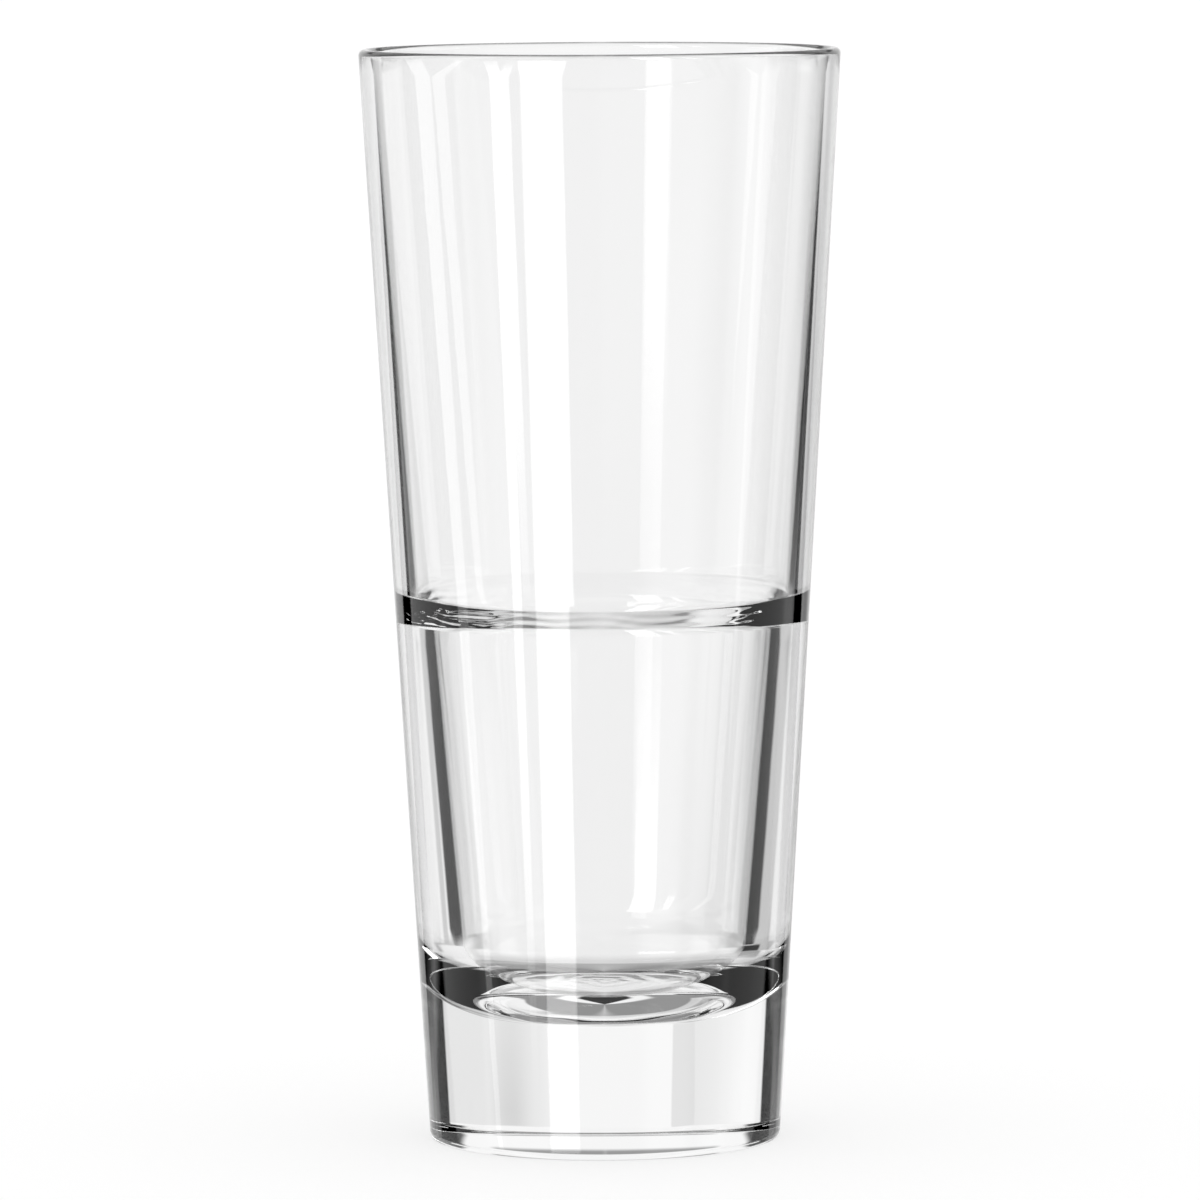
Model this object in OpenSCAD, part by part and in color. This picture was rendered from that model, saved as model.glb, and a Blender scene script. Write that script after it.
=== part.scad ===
// Stackable highball glass.
// One pressed piece of clear soda-lime glass: a straight tapered wall, a heavy solid base,
// and an inner ledge half way down, on which the foot of the next glass rests.
// The origin is the centre of the foot, where it meets the table. +Z is up the axis.

/* [Outside] */
// Height from the table to the top of the rim
height = 165; // [140:0.5:190]
// Outside diameter at the rim, where the straight wall would reach it
rim_d = 72.7; // [66:0.1:84]
// Outside diameter at the table, where the straight wall would reach it
foot_d = 53.2; // [48:0.1:60]
// Radius of the corner between the outside wall and the foot
foot_corner_r = 2; // [1.5:0.1:4.5]
// Height of the round that is ground away when the foot is made flat
foot_grind = 0.8; // [0:0.1:1.2]

/* [Rim] */
// Thickness of the wall just under the lip
rim_wall = 1.9; // [1.4:0.1:2.6]
// Height over which the fire-polished lip rounds over
lip_h = 0.9; // [0.6:0.1:3]

/* [Stacking ledge] */
// Height of the middle of the ledge above the table
ledge_z = 81.1; // [60:0.1:100]
// Thickness of the thin wall just above the ledge
upper_wall = 3.2; // [2.6:0.1:3.8]
// Thickness of the thick wall just below the ledge
lower_wall = 5.4; // [4.8:0.1:6.5]
// Angle at which the ledge falls towards the middle
ledge_fall = 58; // [10:1:65]
// Radius of the hollow where the upper wall meets the ledge
ledge_hollow_r = 1.9; // [0.6:0.1:2.4]
// Radius of the rounded inner edge of the ledge
ledge_edge_r = 2.8; // [0.6:0.1:3.4]

/* [Base] */
// Height of the cavity's floor above the table
floor_z = 19; // [12:0.1:28]
// Thickness of the wall at the height of the floor
base_wall = 7; // [5.5:0.1:8]
// Radius of the large round between the inner wall and the floor
floor_round_r = 13; // [3:0.5:16]

/* [Underside] */
// Width of the flat ring that touches the table
ring_w = 2.4; // [1.5:0.1:4]
// Height of the shallow hollow inside that ring
hollow_h = 0.7; // [0.3:0.1:1.5]
// Radius of the soft corner between the ring and the hollow
hollow_corner_r = 1.2; // [0.4:0.1:2.5]

/* [Hidden] */
// Largest share of a straight stretch that one rounded corner may take up
corner_share = 0.49;
// The same for the large round at the floor, which has the floor to itself
floor_share = 0.9;
// Steps along each rounded corner, the lip and the hollow under the foot
corner_steps = 10;
lip_steps = 16;
hollow_steps = 12;
// Facets of a full turn in previews
turn_steps = 180;

rim_r = rim_d / 2;
foot_r = foot_d / 2;
lip_z = height - lip_h;

// Radius of the straight outside wall at height z
function outer_r(z) = foot_r + (rim_r - foot_r) * z / height;

// Thickness of the wall at height z: it grows evenly from the lip to the ledge,
// and again from the ledge to the floor
function upper_t(z) = upper_wall + (rim_wall - upper_wall) * (z - ledge_z) / (lip_z - ledge_z);
function lower_t(z) = lower_wall + (base_wall - lower_wall) * (ledge_z - z) / (ledge_z - floor_z);

// The ledge falls by this much between the two walls
ledge_drop = (lower_wall - upper_wall) * tan(ledge_fall);
ledge_top_z = ledge_z + ledge_drop / 2;
ledge_low_z = ledge_z - ledge_drop / 2;

// The corner is a round that leaves the wall smoothly and would touch a table foot_grind lower down.
// Grinding the foot flat cuts it off at a faint edge, where the flat ring begins.
wall_lean = atan((rim_r - foot_r) / height);
foot_round_z = foot_corner_r - foot_grind;
foot_round_x = outer_r(foot_round_z - foot_corner_r * sin(wall_lean)) - foot_corner_r * cos(wall_lean);
function foot_round(turn) = [foot_round_x, foot_round_z] + foot_corner_r * [cos(turn), sin(turn)];
ground_turn = -asin(foot_round_z / foot_corner_r);
foot_edge = [for (i = [0 : corner_steps])
    foot_round(ground_turn + (-wall_lean - ground_turn) * i / corner_steps)];

// The flat ring reaches from that edge one ring width further in
ring_outer_r = foot_edge[0][0];
ring_inner_r = ring_outer_r - ring_w;
// The hollow is part of a sphere of this radius
hollow_r = (pow(ring_inner_r, 2) + pow(hollow_h, 2)) / (2 * hollow_h);
function hollow_z(r) = hollow_h - hollow_r + sqrt(pow(hollow_r, 2) - pow(r, 2));

function unit(v) = v / norm(v);

// Points of the arc of radius r that rounds the corner p between its neighbours a and b
function corner(a, p, b, r, share = corner_share) =
    let (
        to_a = unit(a - p),
        to_b = unit(b - p),
        half = acos(to_a * to_b) / 2,
        room = share * min(norm(a - p), norm(b - p)),
        radius = min(r, room * tan(half)),
        centre = p + unit(to_a + to_b) * radius / sin(half),
        first = p + to_a * radius / tan(half) - centre,
        side = sign(to_a[0] * to_b[1] - to_a[1] * to_b[0]),
        sweep = -side * (180 - 2 * half),
        start = atan2(first[1], first[0])
    )
    [for (i = [0 : corner_steps])
        let (turn = start + sweep * i / corner_steps)
        centre + radius * [cos(turn), sin(turn)]];

// The lip is half an ellipse, sheared so that it runs on from both faces of the wall
function lip_point(turn) =
    let (z = lip_z + lip_h * sin(turn))
    [outer_r(z) - rim_wall / 2 + rim_wall / 2 * cos(turn), z];
lip = [for (i = [0 : lip_steps]) lip_point(180 * i / lip_steps)];

// The shallow hollow under the foot, from the axis out to the ring
hollow = [for (i = [0 : hollow_steps - 1])
    let (r = ring_inner_r * i / hollow_steps) [r, hollow_z(r)]];

// Main points of the section, where its straight stretches would meet
ring_inner = [ring_inner_r, 0];
ring_outer = [ring_outer_r, 0];
lip_inner = lip_point(180);
ledge_top = [outer_r(ledge_top_z) - upper_t(ledge_top_z), ledge_top_z];
ledge_low = [outer_r(ledge_low_z) - lower_t(ledge_low_z), ledge_low_z];
floor_edge = [outer_r(floor_z) - base_wall, floor_z];
floor_middle = [0, floor_z];

section = concat(
    hollow,
    corner(hollow[hollow_steps - 1], ring_inner, ring_outer, hollow_corner_r),
    foot_edge,
    lip,
    corner(lip_inner, ledge_top, ledge_low, ledge_hollow_r),
    corner(ledge_top, ledge_low, floor_edge, ledge_edge_r),
    corner(ledge_low, floor_edge, floor_middle, floor_round_r, floor_share),
    [floor_middle]
);

// The whole glass: its section turned about the axis
module tumbler() {
    color([0.93, 0.96, 0.96, 0.35])
        rotate_extrude($fn = turn_steps) polygon(section);
}

tumbler();
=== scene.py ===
# %% [markdown]
# A stackable highball glass, dressed for its picture.
# The real thing is one pressed piece of clear soda-lime glass. Nothing on it moves or comes apart,
# so there is one piece to make here, and nearly all of its look comes from three things:
# an exact section, clean refraction, and what stands round it in the studio.
# The construction model fixes the size and the place. It is loaded first and stays where it is.

# %% Load the construction model
import math
import bpy
from mathutils import Matrix, Vector


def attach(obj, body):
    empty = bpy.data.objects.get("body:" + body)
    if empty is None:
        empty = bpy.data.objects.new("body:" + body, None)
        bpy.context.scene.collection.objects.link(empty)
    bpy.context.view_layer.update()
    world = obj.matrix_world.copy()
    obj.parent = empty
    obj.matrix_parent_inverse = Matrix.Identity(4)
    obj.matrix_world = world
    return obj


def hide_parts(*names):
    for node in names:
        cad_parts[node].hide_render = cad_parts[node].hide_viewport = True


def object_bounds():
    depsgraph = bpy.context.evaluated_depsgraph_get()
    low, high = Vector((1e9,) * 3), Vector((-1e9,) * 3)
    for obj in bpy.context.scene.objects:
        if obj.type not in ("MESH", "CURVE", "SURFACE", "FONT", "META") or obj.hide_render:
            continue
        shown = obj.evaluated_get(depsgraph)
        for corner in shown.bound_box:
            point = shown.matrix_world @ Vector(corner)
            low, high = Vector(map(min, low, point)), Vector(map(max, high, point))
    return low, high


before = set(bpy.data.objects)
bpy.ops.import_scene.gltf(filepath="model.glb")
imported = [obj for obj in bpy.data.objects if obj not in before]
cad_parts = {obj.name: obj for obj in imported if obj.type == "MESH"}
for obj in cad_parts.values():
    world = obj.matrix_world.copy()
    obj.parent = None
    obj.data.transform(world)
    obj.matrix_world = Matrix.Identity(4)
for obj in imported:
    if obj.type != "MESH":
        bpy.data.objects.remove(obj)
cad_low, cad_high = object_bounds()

MM = 0.001
print("construction box in mm:", [round(side / MM, 2) for side in cad_high - cad_low])

# %% [markdown]
# The sizes of the glass.
# A presser thinks of this glass as a mould outside and a plunger inside. The mould gives a straight
# taper from foot to rim. The plunger has a step half way up, which leaves the ledge that the next
# glass stands on, and a domed nose with a large round, which leaves the floor of the cavity.
# These are the same sizes as in the construction model, in millimetres, so both models share one skin.

# %% Sizes in millimetres
HEIGHT = (cad_high.z - cad_low.z) / MM
RIM_D = 72.7
FOOT_D = 53.2
FOOT_CORNER_R = 2.0
FOOT_GRIND = 0.8

RIM_WALL = 1.9
LIP_H = 0.9

LEDGE_Z = 81.1
UPPER_WALL = 3.2
LOWER_WALL = 5.4
LEDGE_FALL = 58.0
LEDGE_HOLLOW_R = 1.9
LEDGE_EDGE_R = 2.8

FLOOR_Z = 19.0
BASE_WALL = 7.0
FLOOR_ROUND_R = 13.0

RING_W = 2.4
HOLLOW_H = 0.7
HOLLOW_CORNER_R = 1.2
print("height from the construction model:", round(HEIGHT, 2), "mm")

# %% [markdown]
# The walls.
# The outside wall is a straight line in section. The inside follows it at a distance that grows
# evenly: thin at the lip, thicker at the ledge, thicker still at the floor. A pressed glass must be
# drawn this way, because the plunger has to come out again.
# Two short functions say it better than a list of points, and they follow any change of size.

# %% Wall functions
RIM_R = RIM_D / 2
FOOT_R = FOOT_D / 2
LIP_Z = HEIGHT - LIP_H


def outer_r(z):
    """Radius of the straight outside wall at height z."""
    return FOOT_R + (RIM_R - FOOT_R) * z / HEIGHT


def upper_t(z):
    """Thickness of the wall above the ledge."""
    return UPPER_WALL + (RIM_WALL - UPPER_WALL) * (z - LEDGE_Z) / (LIP_Z - LEDGE_Z)


def lower_t(z):
    """Thickness of the wall below the ledge."""
    return LOWER_WALL + (BASE_WALL - LOWER_WALL) * (LEDGE_Z - z) / (LEDGE_Z - FLOOR_Z)


print("wall under the lip, above and below the ledge, at the floor:",
      RIM_WALL, UPPER_WALL, LOWER_WALL, BASE_WALL, "mm")

# %% [markdown]
# Round corners.
# Hot glass has no sharp edge. Each corner of the section is an arc that touches both its straight
# neighbours. A bevel modifier could round the finished mesh, but glass shows every uneven facet,
# so the arcs are worked out here, with their points evenly spaced.

# %% Arc between two straight stretches
CORNER_STEPS = 28
CORNER_SHARE = 0.49
FLOOR_SHARE = 0.9


def corner(before, at, after, radius, share=CORNER_SHARE):
    """Points of the arc that rounds the corner `at` between its two neighbours."""
    before, at, after = Vector(before), Vector(at), Vector(after)
    to_before, to_after = (before - at).normalized(), (after - at).normalized()
    half = to_before.angle(to_after) / 2
    room = share * min((before - at).length, (after - at).length)
    radius = min(radius, room * math.tan(half))
    centre = at + (to_before + to_after).normalized() * radius / math.sin(half)
    first = at + to_before * radius / math.tan(half) - centre
    side = math.copysign(1, to_before.x * to_after.y - to_before.y * to_after.x)
    sweep = -side * (math.pi - 2 * half)
    start = math.atan2(first.y, first.x)
    turns = [start + sweep * i / CORNER_STEPS for i in range(CORNER_STEPS + 1)]
    return [(centre.x + radius * math.cos(t), centre.y + radius * math.sin(t)) for t in turns]


# %% [markdown]
# The lip, the ledge, the floor and the foot.
# The lip is fire-polished, so it is half an ellipse, sheared to run on from both faces of the wall.
# The ledge slopes towards the middle, with a hollow above and a full round edge below.
# The foot was ground flat after pressing. That cut the lowest part off its rounded corner, so the
# round meets the flat ring at a faint edge. Inside the ring is a very shallow hollow.

# %% Lip
LIP_STEPS = 32


def lip_point(turn):
    """A point of the lip: turn 0 is outside and half a turn is inside."""
    z = LIP_Z + LIP_H * math.sin(turn)
    return (outer_r(z) - RIM_WALL / 2 + RIM_WALL / 2 * math.cos(turn), z)


lip = [lip_point(math.pi * i / LIP_STEPS) for i in range(LIP_STEPS + 1)]
print("greatest radius of the lip:", round(max(r for r, z in lip), 3), "mm")

# %% Foot corner, flat ring and the shallow hollow inside it
HOLLOW_STEPS = 16
wall_lean = math.atan((RIM_R - FOOT_R) / HEIGHT)
foot_round_z = FOOT_CORNER_R - FOOT_GRIND
foot_round_x = (outer_r(foot_round_z - FOOT_CORNER_R * math.sin(wall_lean))
                - FOOT_CORNER_R * math.cos(wall_lean))
ground_turn = -math.asin(foot_round_z / FOOT_CORNER_R)
foot_turns = [ground_turn + (-wall_lean - ground_turn) * i / CORNER_STEPS
              for i in range(CORNER_STEPS + 1)]
foot_edge = [(foot_round_x + FOOT_CORNER_R * math.cos(t), foot_round_z + FOOT_CORNER_R * math.sin(t))
             for t in foot_turns]
ring_outer_r = foot_edge[0][0]
ring_inner_r = ring_outer_r - RING_W
hollow_r = (ring_inner_r ** 2 + HOLLOW_H ** 2) / (2 * HOLLOW_H)


def hollow_z(r):
    """Height of the hollow under the foot at radius r: part of a large sphere."""
    return HOLLOW_H - hollow_r + math.sqrt(hollow_r ** 2 - r ** 2)


hollow = [(ring_inner_r * i / HOLLOW_STEPS, hollow_z(ring_inner_r * i / HOLLOW_STEPS))
          for i in range(HOLLOW_STEPS)]
print("foot ring from", round(ring_inner_r, 2), "to", round(ring_outer_r, 2), "mm radius")

# %% Ledge and cavity floor
ledge_drop = (LOWER_WALL - UPPER_WALL) * math.tan(math.radians(LEDGE_FALL))
ledge_top_z = LEDGE_Z + ledge_drop / 2
ledge_low_z = LEDGE_Z - ledge_drop / 2
ledge_top = (outer_r(ledge_top_z) - upper_t(ledge_top_z), ledge_top_z)
ledge_low = (outer_r(ledge_low_z) - lower_t(ledge_low_z), ledge_low_z)
floor_edge = (outer_r(FLOOR_Z) - BASE_WALL, FLOOR_Z)
floor_middle = (0, FLOOR_Z)
print("the ledge falls from", round(ledge_top_z, 2), "to", round(ledge_low_z, 2), "mm")

# %% [markdown]
# The whole section.
# It runs from the axis under the foot, out and up the outside, over the lip, down the inside and
# back to the axis. Long straight stretches are cut into short ones, so that the quads stay near
# square and smooth shading has nothing to smear. The steps are shortest on the ledge and the floor,
# where the next cells add waves that a long step would skip.

# %% Join the section
LONGEST_STEP = 2.5
LEDGE_STEP = 0.08
FLOOR_STEP = 0.4
SAME_HEIGHT = 0.01


def share_of_ledge(r, z):
    """0 at the foot of the ledge and 1 at its top, or None for a point that isn't on the ledge."""
    inside = r < outer_r(z) - UPPER_WALL / 2
    return (z - ledge_low_z) / ledge_drop if inside and ledge_low_z <= z <= ledge_top_z else None


def with_short_steps(points):
    """The same line with no long steps, and with short ones on the ledge and on the flat floor."""
    line = [points[0]]
    for a, b in zip(points, points[1:]):
        on_ledge = share_of_ledge(*a) is not None and share_of_ledge(*b) is not None
        on_floor = abs(a[1] - FLOOR_Z) < SAME_HEIGHT and abs(b[1] - FLOOR_Z) < SAME_HEIGHT
        step = LEDGE_STEP if on_ledge else FLOOR_STEP if on_floor else LONGEST_STEP
        cuts = max(1, math.ceil(math.dist(a, b) / step))
        line += [(a[0] + (b[0] - a[0]) * i / cuts, a[1] + (b[1] - a[1]) * i / cuts)
                 for i in range(1, cuts + 1)]
    return line


section = with_short_steps(
    hollow
    + corner(hollow[-1], (ring_inner_r, 0), (ring_outer_r, 0), HOLLOW_CORNER_R)
    + foot_edge
    + lip
    + corner(lip[-1], ledge_top, ledge_low, LEDGE_HOLLOW_R)
    + corner(ledge_top, ledge_low, floor_edge, LEDGE_EDGE_R)
    + corner(ledge_low, floor_edge, floor_middle, FLOOR_ROUND_R, FLOOR_SHARE)
    + [floor_middle])
print("points in the section:", len(section))

# %% [markdown]
# The ripples of the ledge.
# The step of the plunger is the last place that the stiffening glass fills, and its skin chills in
# small wrinkles that run round the ledge: a hundredth of a millimetre deep, and some ten times that
# on one rough side. The ledge bends light so much that they show as wavy streaks of light and dark.
# Bump would bend only the shading, so these are real waves in the mesh, which light meets both on
# its way in and on its way out.

# %% Ripples of the ledge
# Depth and pitch are in millimetres. The peak moves the deepest waves towards the ledge's foot, and
# the second set of waves is a share of the first
RIPPLE_DEPTH = 0.006
RIPPLE_PITCH = 1.2
RIPPLE_PEAK = 0.6
SECOND_DEPTH = 0.5
SECOND_RATE = 0.6
SECOND_WANDER = 2
ROUGH_SIDE = math.radians(200)
ROUGH_TIMES = 14
ROUGH_POWER = 6
# Each wander is a wave round the glass: its size, its number of crests and where it starts
SLOW_WANDER = (1.9, 5, 1)
QUICK_WANDER = (1.1, 13, 0)
ROUGH_WANDER = (2.2, 17, 0)


def wave_round(turn, size, crests, start):
    """A wave that runs round the axis, `crests` times in a full turn."""
    return size * math.sin(crests * turn + start)


def ripple(r, z, turn):
    """How far the skin of the ledge stands in front of its true cone, in millimetres."""
    share = share_of_ledge(r, z)
    if share is None:
        return 0
    bed = math.sin(math.pi * share ** RIPPLE_PEAK)
    rough = max(0, math.cos(turn - ROUGH_SIDE)) ** ROUGH_POWER
    phase = 2 * math.pi * z / RIPPLE_PITCH
    wander = (wave_round(turn, *SLOW_WANDER) + wave_round(turn, *QUICK_WANDER)
              + rough * wave_round(turn, *ROUGH_WANDER))
    waves = (math.sin(phase + wander)
             + SECOND_DEPTH * math.sin(SECOND_RATE * phase - SECOND_WANDER * wander))
    return RIPPLE_DEPTH * (1 + ROUGH_TIMES * rough) * bed * waves


ledge_way = Vector((-math.sin(math.radians(LEDGE_FALL)), math.cos(math.radians(LEDGE_FALL))))
print("deepest ripple of the ledge:", round(RIPPLE_DEPTH * (1 + ROUGH_TIMES) * (1 + SECOND_DEPTH), 3), "mm")

# %% [markdown]
# The rings on the cavity's floor.
# The nose of the plunger is turned on a lathe and its skin chills last, so the floor of a pressed
# glass is never quite smooth: it carries a few low rings, which scatter the light in the thick base.
# They could be bump, but the base is seen through them twice, so they are in the mesh too.

# %% Rings on the floor
FLOOR_RIPPLE = 0.035
FLOOR_PITCH = 3.4
FLOOR_FADE = 4.0
FLOOR_WANDERS = ((1.3, 2, 0.7), (0.8, 5, 0))


def floor_ripple(r, z, turn):
    """How far the chilled skin of the cavity's floor stands above its true shape, in millimetres."""
    if not FLOOR_Z - SAME_HEIGHT < z < FLOOR_Z + FLOOR_FADE or r > floor_edge[0]:
        return 0
    fade = (1 - (z - FLOOR_Z) / FLOOR_FADE) * min(1, r / FLOOR_PITCH)
    wander = sum(wave_round(turn, *wave) for wave in FLOOR_WANDERS)
    return FLOOR_RIPPLE * fade * math.sin(2 * math.pi * r / FLOOR_PITCH + wander)


print("height of the floor's rings:", FLOOR_RIPPLE, "mm")

# %% [markdown]
# Turning the section.
# A screw modifier would do it, but it leaves doubled points on the axis. Here each point becomes a
# ring, the two ends become single points, and neighbouring rings are joined by quads. The result is
# one closed skin with its faces turned outwards, which is what refraction needs.

# %% Turn the section into the glass
TURN_STEPS = 360
SAME_POINT = 1e-6


def turned(points, name):
    """A closed mesh, turned about the axis from points (radius, height) in millimetres."""
    points = [p for i, p in enumerate(points) if i == 0 or math.dist(p, points[i - 1]) > SAME_POINT]
    corners, rings = [], []
    for r, z in points:
        count = 1 if r < SAME_POINT else TURN_STEPS
        rings.append([len(corners) + k for k in range(count)])
        for k in range(count):
            turn = 2 * math.pi * k / TURN_STEPS
            off = ripple(r, z, turn)
            far, up = r + off * ledge_way.x, z + off * ledge_way.y + floor_ripple(r, z, turn)
            corners.append((far * MM * math.cos(turn), far * MM * math.sin(turn), up * MM))
    faces = []
    for low, high in zip(rings, rings[1:]):
        for k in range(TURN_STEPS):
            n = (k + 1) % TURN_STEPS
            if len(low) == 1:
                faces.append((low[0], high[n], high[k]))
            elif len(high) == 1:
                faces.append((low[k], low[n], high[0]))
            else:
                faces.append((low[k], low[n], high[n], high[k]))
    mesh = bpy.data.meshes.new(name)
    mesh.from_pydata(corners, [], faces)
    mesh.polygons.foreach_set("use_smooth", [True] * len(mesh.polygons))
    mesh.update()
    piece = bpy.data.objects.new(name, mesh)
    bpy.context.scene.collection.objects.link(piece)
    return piece


glass = turned(section, "highball_glass")
print("faces:", len(glass.data.polygons))

# %% [markdown]
# Clear soda-lime glass.
# It bends light by an index of 1.52, and has no colour of its own at this thickness. What tells it
# from acrylic is a fire-polished skin that isn't quite flat: the plunger and the mould leave slow
# waves, a hundredth of a millimetre deep, that bend the lines seen through it very slightly.
# The waves come from noise that is measured on the piece itself, so they stay on the glass.

# %% Glass material
GLASS_INDEX = 1.52
COLOURLESS = (1, 1, 1, 1)
FIRE_POLISHED = 0
ALL_THROUGH = 1
WAVE_SCALE = 55
WAVE_DETAIL = 1
WAVE_STRENGTH = 1
WAVE_DEPTH = 0.02 * MM


def clear_glass():
    """Colourless soda-lime glass with a faint pressed wave."""
    material = bpy.data.materials.new("clear_soda_lime_glass")
    material.use_nodes = True
    nodes, links = material.node_tree.nodes, material.node_tree.links
    shader = nodes["Principled BSDF"]
    shader.inputs["Base Color"].default_value = COLOURLESS
    shader.inputs["Roughness"].default_value = FIRE_POLISHED
    shader.inputs["IOR"].default_value = GLASS_INDEX
    shader.inputs["Transmission Weight"].default_value = ALL_THROUGH
    place = nodes.new("ShaderNodeTexCoord")
    wave = nodes.new("ShaderNodeTexNoise")
    wave.inputs["Scale"].default_value = WAVE_SCALE
    wave.inputs["Detail"].default_value = WAVE_DETAIL
    bump = nodes.new("ShaderNodeBump")
    bump.inputs["Strength"].default_value = WAVE_STRENGTH
    bump.inputs["Distance"].default_value = WAVE_DEPTH
    links.new(place.outputs["Object"], wave.inputs["Vector"])
    links.new(wave.outputs["Fac"], bump.inputs["Height"])
    links.new(bump.outputs["Normal"], shader.inputs["Normal"])
    return material


glass.data.materials.append(clear_glass())
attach(glass, "root")
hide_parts("tumbler")
print("glass index:", GLASS_INDEX)

# %% [markdown]
# The floor.
# A wide sheet of pale matt board. The camera and the soft light see it, so it carries the contact
# shadow. Rays that have passed through the glass, or mirror in it, see the studio instead, as they
# do when a glass is photographed on a thin stand in front of a lit background.

# %% Floor
# The size is in metres. The board glows a little, as a lit one does, which keeps its shadow soft
FLOOR_SIZE = 40
FLOOR_GREY = (0.35, 0.35, 0.35, 1)
FLOOR_MATT = 1
FLOOR_GLOSS = 0
FLOOR_GLOW_COLOUR = (1, 1, 1, 1)
FLOOR_GLOW = 0.66
FLOOR_GAP = 0.05 * MM


def pale_floor():
    """A large pale board under the glass."""
    half = FLOOR_SIZE / 2
    mesh = bpy.data.meshes.new("floor")
    mesh.from_pydata([(-half, -half, -FLOOR_GAP), (half, -half, -FLOOR_GAP),
                      (half, half, -FLOOR_GAP), (-half, half, -FLOOR_GAP)], [], [(0, 1, 2, 3)])
    board = bpy.data.objects.new("floor", mesh)
    bpy.context.scene.collection.objects.link(board)
    material = bpy.data.materials.new("pale_board")
    material.use_nodes = True
    shader = material.node_tree.nodes["Principled BSDF"]
    shader.inputs["Base Color"].default_value = FLOOR_GREY
    shader.inputs["Roughness"].default_value = FLOOR_MATT
    shader.inputs["Specular IOR Level"].default_value = FLOOR_GLOSS
    shader.inputs["Emission Color"].default_value = FLOOR_GLOW_COLOUR
    shader.inputs["Emission Strength"].default_value = FLOOR_GLOW
    mesh.materials.append(material)
    board.visible_transmission = False
    board.visible_glossy = False
    return board


pale_floor()
print("floor:", FLOOR_SIZE, "m wide,", round(FLOOR_GAP / MM, 2), "mm under the foot")

# %% [markdown]
# The studio as a light dome.
# Clear glass shows nothing but its surroundings, bent. A photographer puts a white background
# behind it and black boards at both sides: light that is bent far off its way at the edges of the
# glass then comes from a black board, and draws the outline. Long soft boxes in front give the
# bright upright stripes. Boards and lamps in the scene would do, but each one would have to be
# far away and large. Here they are zones of the world, placed by azimuth and elevation in degrees:
# azimuth 0 is straight behind the glass as the camera sees it, and 90 is to its right.
# Each edge of a zone may lean, because a real board seen from near the floor does too.

# %% Node helpers for the dome
world = bpy.data.worlds.new("studio")
bpy.context.scene.world = world
world.use_nodes = True
dome_nodes, dome_links = world.node_tree.nodes, world.node_tree.links


def sum_node(operation, *terms):
    """A math node. Terms are numbers or the outputs of other nodes."""
    node = dome_nodes.new("ShaderNodeMath")
    node.operation = operation
    for socket, term in zip(node.inputs, terms):
        if isinstance(term, (int, float)):
            socket.default_value = term
        else:
            dome_links.new(term, socket)
    return node.outputs[0]


def step_up(value, at, soft):
    """0 below `at` and 1 above it, with a smooth edge `soft` wide on each side."""
    node = dome_nodes.new("ShaderNodeMapRange")
    node.interpolation_type = "SMOOTHSTEP"
    dome_links.new(value, node.inputs["Value"])
    node.inputs["From Min"].default_value = at - soft
    node.inputs["From Max"].default_value = at + soft
    return node.outputs["Result"]


def upright(across, at, lean, level, soft):
    """An upright edge at azimuth `at`, which leans by `lean` degrees for each degree above `level`."""
    if lean:
        across = sum_node("MULTIPLY_ADD", elevation, -lean, across)
    return step_up(across, at - lean * level, soft)


way = dome_nodes.new("ShaderNodeTexCoord")
split = dome_nodes.new("ShaderNodeSeparateXYZ")
dome_links.new(way.outputs["Generated"], split.inputs[0])
azimuth = sum_node("DEGREES", sum_node("ARCTAN2", split.outputs["X"], split.outputs["Y"]))
elevation = sum_node("DEGREES", sum_node("ARCSINE", split.outputs["Z"]))
both_sides = sum_node("ABSOLUTE", azimuth)
print("nodes that find azimuth and elevation:", len(dome_nodes))

# %% Paint one board
def zone(under, name, brightness, across, sides, heights, softness, leans=(0, 0), level=0):
    """Paints a board over what is `under` it, between two azimuths and two elevations."""
    (left, right), (low, high), (soft, soft_up) = sides, heights, softness
    wide = sum_node("SUBTRACT", upright(across, left, leans[0], level, soft),
                    upright(across, right, leans[1], level, soft))
    tall = sum_node("SUBTRACT", step_up(elevation, low, soft_up), step_up(elevation, high, soft_up))
    mix = dome_nodes.new("ShaderNodeMix")
    mix.label = name
    dome_links.new(sum_node("MULTIPLY", wide, tall), mix.inputs["Factor"])
    if isinstance(under, (int, float)):
        mix.inputs["A"].default_value = under
    else:
        dome_links.new(under, mix.inputs["A"])
    mix.inputs["B"].default_value = brightness
    return mix.outputs["Result"]


# %% [markdown]
# The boards and boxes of the studio.
# Each row is one board or light box, and paints over the rows above it. It gives the name, the
# brightness, whether there is one on each side or only one, the left and right azimuth, the low and
# high elevation, and the softness of the edges across and upwards. Where edges lean, it also gives
# the lean of the left and the right edge, and the elevation at which they stand at those azimuths.
# Brightness 1 is a white wall. The light boxes are brighter, because the glass mirrors only a
# twentieth of them, and that still has to show as a white stripe.
# These numbers are fitted, not designed. A separate program worked out from the brightness of the
# photograph what would have to stand round the glass, and the first boards were placed by looking at
# that. Then light was followed through the section, the outcome was compared with the photograph, and
# the edges and most of the brightnesses were set from that. The rows were then thinned out and
# rounded, and a few were changed.

# %% Boards and boxes
BACK_WALL = 0.97
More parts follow.
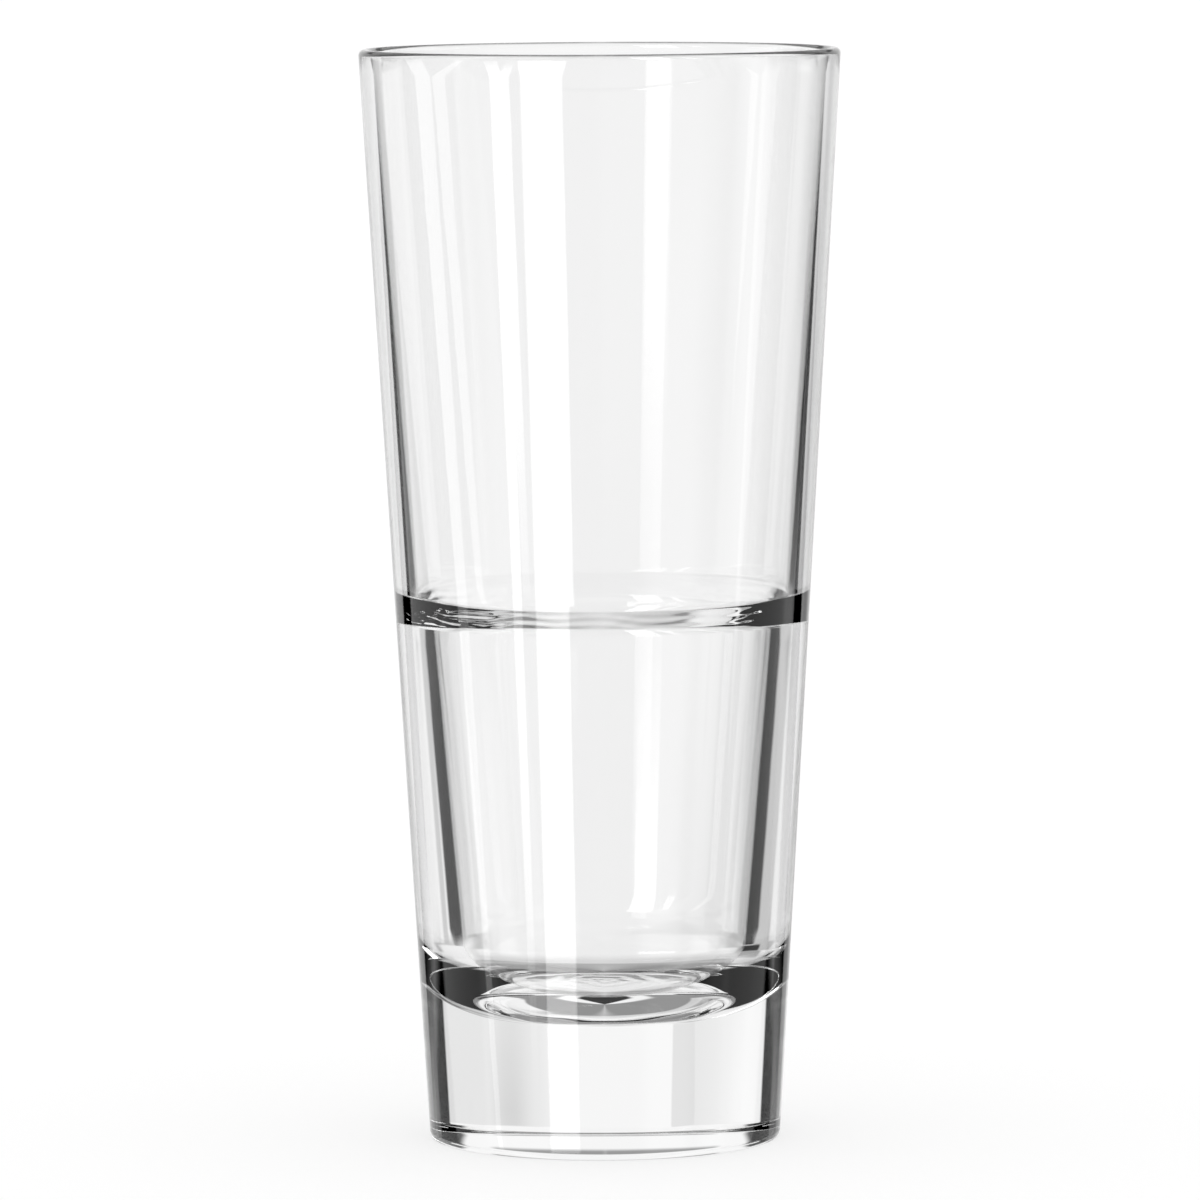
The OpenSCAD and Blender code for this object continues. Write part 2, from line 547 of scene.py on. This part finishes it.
# Past the end of the dome, so that no edge shows
ALL = 400
EACH_SIDE = both_sides
ONE = azimuth
BOARDS = [
    ("dark room in front", 0.24, EACH_SIDE, (102, ALL), (-ALL, ALL), (8, 1), (-0.8, 0)),
    ("grey above the camera", 0.65, EACH_SIDE, (103.5, ALL), (0.5, ALL), (5, 0.8), (2, 0)),
    ("dark floor in front", 0.04, EACH_SIDE, (105, ALL), (-ALL, -16.5), (5, 2), (-0.4, 0)),
    ("grey board, front right", 0.37, ONE, (105, ALL), (-13, 0.5), (5, 2), (0.4, 0)),
    ("grey board, front left", 0.68, ONE, (-126, -99), (-19.5, 2), (1, 2), (4, 3), -9.5),
    ("grey boards at the sides", 0.69, EACH_SIDE, (62.5, 101.5), (-14.5, -2), (3, 1.4), (0.4, 0.4)),
    ("back wall, right", 0.83, ONE, (15.5, 41), (-16.5, -2), (4.5, 1), (0.8, 0)),
    ("back wall, far right", 0.81, ONE, (32.5, 52.5), (-15, -1), (1, 1), (0.4, 0.4)),
    ("shaded patch of the back wall", 0.53, ONE, (19, 26.5), (-9.5, -4.5), (3.7, 1.3), (0, -0.4)),
    ("back wall, left", 0.85, ONE, (-39, -17.5), (-15, -2), (2, 1)),
    ("back wall, far left", 1.01, ONE, (-53.5, -31), (-15, -3), (8, 1.4), (0, 0.4)),
    ("dark strip, right", 0.11, ONE, (48.5, 66), (-7.5, -5.5), (1.5, 1), (0.4, -0.8)),
    ("light strip, left", 0.84, ONE, (-71, -51), (-12, -5.5), (1.5, 1), (1.6, -0.4)),
    ("black boards at the sides", 0.01, EACH_SIDE, (51.5, 100), (-4.5, 6), (0.9, 0.4), (0, -0.8)),
    ("black boards above them", 0.02, EACH_SIDE, (39, 99), (6, 17), (2.7, 0.5), (0.4, 0.4)),
    ("grey card, right", 0.53, ONE, (23, 44), (-15.5, -8.5), (1.5, 0.4), (-0.4, -0.4)),
    ("grey card, left", 0.57, ONE, (-42.5, -35.5), (-15.5, -9.5), (2, 0.4)),
    ("upper flags", 0, EACH_SIDE, (33.5, 46), (-10, -4.5), (1.2, 0.7), (1.3, -0.4), -7),
    ("lower flags", 0, EACH_SIDE, (43.5, 64), (-16, -10.5), (1.8, 0.3), (-1.5, -3.6), -12),
    ("grey batten above the back wall", 0.32, EACH_SIDE, (-1, 30), (14, 18.5), (2, 1.2)),
    ("grey ceiling", 0.3, EACH_SIDE, (-1, 105), (44, ALL), (3, 1.2)),
    ("grey foot of the back wall", 0.55, EACH_SIDE, (16.5, 48.5), (-24, -14), (4.1, 1.1)),
    ("black boards by the feet of the sides", 0, EACH_SIDE, (46, 104), (-25, -16.5), (2.2, 1.5), (0.4, 0.4)),
    ("grey floor at the sides", 0.38, EACH_SIDE, (50, 105), (-34.5, -24), (4.1, 1.5), (0.8, -0.8)),
    ("light table, far half", 0.65, EACH_SIDE, (-1, 105), (-48, -33), (4.1, 8)),
    ("dark under the table", 0.29, EACH_SIDE, (-1, 105), (-ALL, -43), (7.4, 1.5)),
    ("pale board, left of the table", 0.95, ONE, (-66, -24), (-48, -15.5), (5, 1.5)),
    ("pale board, hard left", 0.85, ONE, (-101, -80), (-6, 9), (2, 1)),
    ("pale board, front right", 0.8, ONE, (124, 154), (-30, -9.5), (6, 2)),
    ("thin grey post, left", 0.78, ONE, (-15.9, -15.1), (-8.2, -0.5), (0.3, 0.9), (1.2, 0)),
    ("strip light, left", 2.6, ONE, (-97.5, -90.5), (-15, -4), (0.5, 1), (2.2, 3), -9.5),
    ("strip light, front left", 4, ONE, (-134, -128.5), (-13.5, -5.5), (0.5, 1.4), (0.7, 1), -10.5),
    ("tall light box, upper half", 2.3, ONE, (-156, -142.5), (1, 7), (0.7, 1)),
    ("tall light box, lower half", 5, ONE, (-160, -142), (-16, -3), (0.9, 1.4), (0.5, 0.3), -9),
    ("strip light, right", 1.8, ONE, (95.5, 99.5), (-16, -5.5), (0.7, 1), (-3.2, -1.4), -9.5),
]
light = BACK_WALL
for board in BOARDS:
    light = zone(light, *board)
print("boards and boxes:", len(BOARDS))

# %% [markdown]
# The white behind the glass.
# In such a picture the background is burnt out to plain white, and the shadow on the floor is soft.
# A real studio does that with more lamps. Here the world asks what kind of ray is looking: the
# camera's own rays see even white, and the floor gets even light from all round. Only rays that
# the glass has bent or mirrored see the boards and boxes.

# %% World output
CAMERA_WHITE = 1.0
FLOOR_LIGHT = 1.1
paths = dome_nodes.new("ShaderNodeLightPath")


def shown_to(ray, brightness, otherwise):
    """Gives one kind of ray its own even brightness."""
    mix = dome_nodes.new("ShaderNodeMix")
    dome_links.new(paths.outputs[ray], mix.inputs["Factor"])
    dome_links.new(otherwise, mix.inputs["A"])
    mix.inputs["B"].default_value = brightness
    return mix.outputs["Result"]


light = shown_to("Is Diffuse Ray", FLOOR_LIGHT, light)
light = shown_to("Is Camera Ray", CAMERA_WHITE, light)
dome_links.new(light, dome_nodes["Background"].inputs["Color"])
print("nodes in the dome:", len(dome_nodes))
bpy.context.scene.view_settings.view_transform = "Standard"

# %% [markdown]
# The camera.
# A long lens from the front, a little above the rim, so that the walls stay nearly straight lines
# and the ellipses at ledge and floor open slowly towards the foot. Its place and its small roll come
# from the outline in the photograph. Angles are in degrees, and lens and sensor in millimetres.

# %% Camera
CAMERA_BACK = 1322 * MM
CAMERA_UP = 201.1 * MM
CAMERA_ACROSS = -0.36 * MM
CAMERA_TILT = 5.165
CAMERA_ROLL = 0.302
CAMERA_LENS = 263.1
SENSOR = 36

camera_data = bpy.data.cameras.new("camera")
camera_data.lens = CAMERA_LENS
camera_data.sensor_width = SENSOR
camera_data.clip_end = FLOOR_SIZE
camera = bpy.data.objects.new("camera", camera_data)
bpy.context.scene.collection.objects.link(camera)
camera.matrix_world = (Matrix.Translation((CAMERA_ACROSS, -CAMERA_BACK, CAMERA_UP))
                       @ Matrix.Rotation(math.radians(90 - CAMERA_TILT), 4, "X")
                       @ Matrix.Rotation(math.radians(-CAMERA_ROLL), 4, "Z"))
bpy.context.scene.camera = camera
print("camera:", round(CAMERA_BACK / MM), "mm in front and", round(CAMERA_UP / MM), "mm up")
